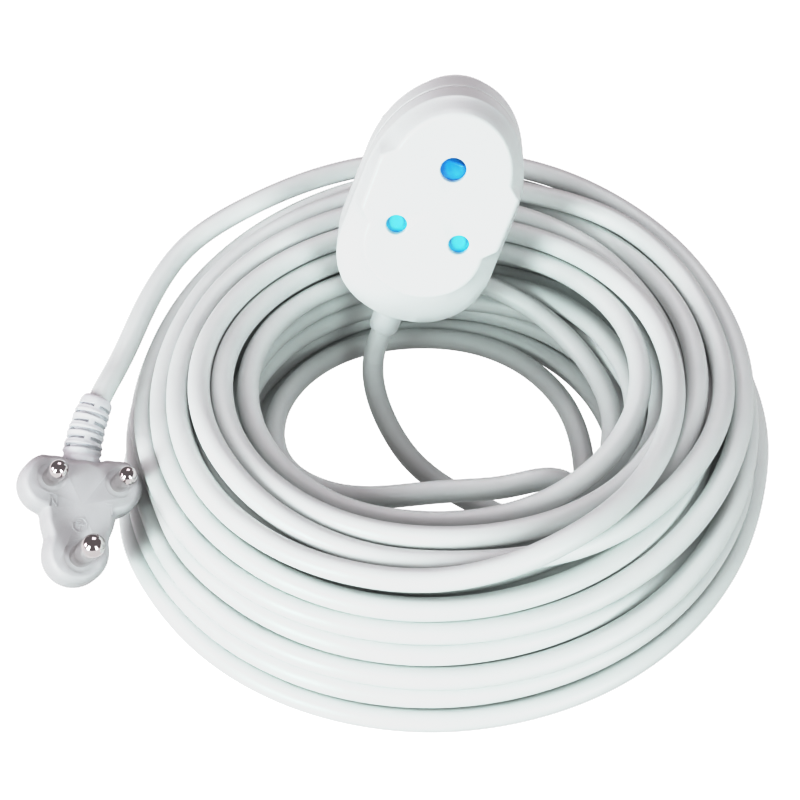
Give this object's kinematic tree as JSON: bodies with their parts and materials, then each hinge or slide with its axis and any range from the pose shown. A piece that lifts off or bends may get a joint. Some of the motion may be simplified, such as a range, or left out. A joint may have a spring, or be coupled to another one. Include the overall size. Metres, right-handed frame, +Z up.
{
  "type": "extension lead",
  "caption": "Coiled white flex with a moulded three-pin plug at one end and a double-sided shuttered coupler socket at the other.",
  "frame": {"origin": "middle of the underside of the bounding box; the coil lies on z = 0", "axes": "+Z up, +X to the right of the viewer, +Y away from the viewer; the plug hangs on the -X side and the coupler's visible face looks to -Y"},
  "size_m": [0.2904, 0.2542, 0.1367],
  "materials": {
    "flex_cable_coil_mat": "satin",
    "flex_cable_plug_tail_mat": "satin",
    "plug_body_mat": "satin",
    "plug_cord_guard_mat": "satin",
    "flex_cable_plug_stub_mat": "satin",
    "plug_pin_carrier_mat": "matt",
    "earth_pin_mat": "polished",
    "live_pin_mat": "polished",
    "neutral_pin_mat": "polished",
    "plug_live_core_mat": "matt",
    "plug_neutral_core_mat": "matt",
    "plug_earth_core_mat": "matt",
    "coupler_front_shell_mat": "satin",
    "coupler_rear_shell_mat": "satin",
    "coupler_cord_collar_mat": "satin",
    "flex_cable_coupler_stub_mat": "satin",
    "cord_clamp_mat": "satin",
    "cord_clamp_screw_left_mat": "satin",
    "cord_clamp_screw_right_mat": "satin",
    "live_contact_mat": "satin",
    "neutral_contact_mat": "satin",
    "earth_contact_mat": "satin",
    "coupler_live_core_mat": "matt",
    "coupler_neutral_core_mat": "matt",
    "coupler_earth_core_mat": "matt",
    "shell_screw_1_mat": "satin",
    "shell_screw_2_mat": "satin",
    "shell_screw_3_mat": "satin",
    "shell_screw_4_mat": "satin",
    "front_shutter_spring_mat": "satin",
    "rear_shutter_spring_mat": "satin",
    "front_shutter_mat": "satin",
    "rear_shutter_mat": "satin"
  },
  "bodies": {
    "coil": {"flex_cable_coil": "flex_cable_coil_mat"},
    "plug_lead": {"flex_cable_plug_tail": "flex_cable_plug_tail_mat"},
    "plug": {"plug_body": "plug_body_mat", "plug_cord_guard": "plug_cord_guard_mat", "flex_cable_plug_stub": "flex_cable_plug_stub_mat", "plug_pin_carrier": "plug_pin_carrier_mat", "earth_pin": "earth_pin_mat", "live_pin": "live_pin_mat", "neutral_pin": "neutral_pin_mat", "plug_live_core": "plug_live_core_mat", "plug_neutral_core": "plug_neutral_core_mat", "plug_earth_core": "plug_earth_core_mat"},
    "coupler": {"coupler_front_shell": "coupler_front_shell_mat", "coupler_rear_shell": "coupler_rear_shell_mat", "coupler_cord_collar": "coupler_cord_collar_mat", "flex_cable_coupler_stub": "flex_cable_coupler_stub_mat", "cord_clamp": "cord_clamp_mat", "cord_clamp_screw_left": "cord_clamp_screw_left_mat", "cord_clamp_screw_right": "cord_clamp_screw_right_mat", "live_contact": "live_contact_mat", "neutral_contact": "neutral_contact_mat", "earth_contact": "earth_contact_mat", "coupler_live_core": "coupler_live_core_mat", "coupler_neutral_core": "coupler_neutral_core_mat", "coupler_earth_core": "coupler_earth_core_mat", "shell_screw_1": "shell_screw_1_mat", "shell_screw_2": "shell_screw_2_mat", "shell_screw_3": "shell_screw_3_mat", "shell_screw_4": "shell_screw_4_mat", "front_shutter_spring": "front_shutter_spring_mat", "rear_shutter_spring": "rear_shutter_spring_mat"},
    "front_shutter": {"front_shutter": "front_shutter_mat"},
    "rear_shutter": {"rear_shutter": "rear_shutter_mat"}
  },
  "joints": [
    {"name": "lead_swing", "type": "hinge", "parent": "coil", "child": "plug_lead", "pos_m": [-0.08288, 0.07967, 0.057], "axis": [0, 0, 1], "range_deg": [-30, 0], "stiffness_Nm_per_rad": 0.8},
    {"name": "plug_nod", "type": "hinge", "parent": "plug_lead", "child": "plug", "pos_m": [-0.11459, 0.00056, 0.05149], "axis": [0.9356, 0.114, -0.334], "range_deg": [-7, 5], "stiffness_Nm_per_rad": 0.5},
    {"name": "coupler_tilt", "type": "hinge", "parent": "coil", "child": "coupler", "pos_m": [-0.00651, 0.04705, 0.03236], "axis": [0.9296, -0.1407, -0.3406], "range_deg": [0, 30], "stiffness_Nm_per_rad": 2},
    {"name": "front_shutter_slide", "type": "slide", "parent": "coupler", "child": "front_shutter", "axis": [-0.3662, -0.2495, -0.8965], "range_m": [0, 0.0095], "stiffness_N_per_m": 120, "springref_m": -0.004, "deforming": ["front_shutter_spring"]},
    {"name": "rear_shutter_slide", "type": "slide", "parent": "coupler", "child": "rear_shutter", "axis": [0.3662, 0.2495, 0.8965], "range_m": [0, 0.0095], "stiffness_N_per_m": 120, "springref_m": -0.004, "deforming": ["rear_shutter_spring"]}
  ]
}
